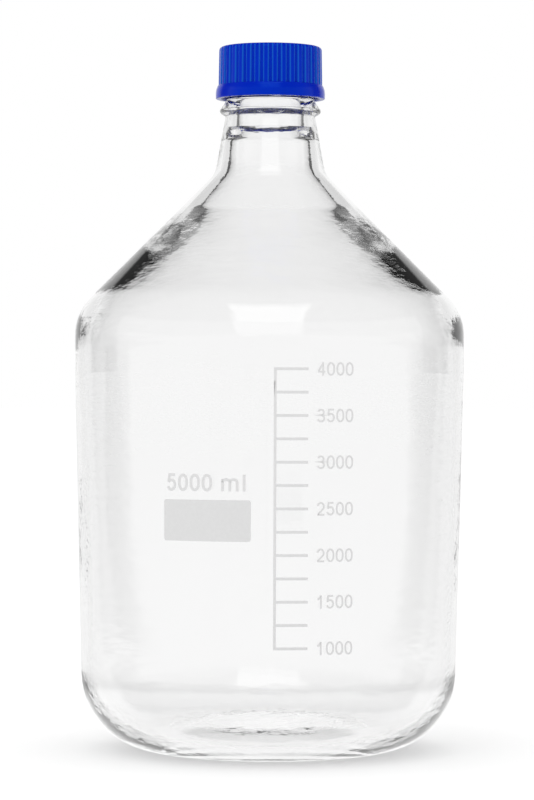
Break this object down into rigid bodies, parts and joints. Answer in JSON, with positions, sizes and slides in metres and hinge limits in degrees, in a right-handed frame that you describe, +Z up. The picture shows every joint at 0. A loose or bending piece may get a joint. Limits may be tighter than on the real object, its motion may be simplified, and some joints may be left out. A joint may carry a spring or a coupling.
{
  "type": "laboratory bottle",
  "caption": "Round glass laboratory bottle with a graduated wall, a sloping shoulder, a threaded neck with a pouring ring, and a ribbed plastic screw cap.",
  "frame": {"origin": "centre of the bottle's foot, on the surface that it stands on", "axes": "+Z up along the bottle's axis, with the graduated side facing -Y"},
  "size_m": [0.1824, 0.1826, 0.3293],
  "materials": {
    "glass": "clear, polished",
    "cap_plastic": "satin moulded polypropylene",
    "ring_plastic": "satin moulded polypropylene",
    "white_print": "fired white enamel"
  },
  "bodies": {
    "bottle": {"bottle": "glass", "volume_scale": "white_print", "writing_panel": "white_print"},
    "pouring_ring": {"pouring_ring": "ring_plastic"},
    "screw_cap": {"screw_cap": "cap_plastic"}
  },
  "joints": [
    {"name": "cap_turn", "type": "hinge", "parent": "bottle", "child": "pouring_ring", "pos_m": [0, 0, 0.3226], "axis": [0, 0, 1], "range_deg": [0, 2520]},
    {"name": "cap_lift", "type": "slide", "parent": "pouring_ring", "child": "screw_cap", "axis": [0, 0, 1], "range_m": [0, 0.02801]}
  ],
  "couplings": [
    {"joint": "cap_lift", "follows": "cap_turn", "m_per_rad": 0.00063662}
  ]
}
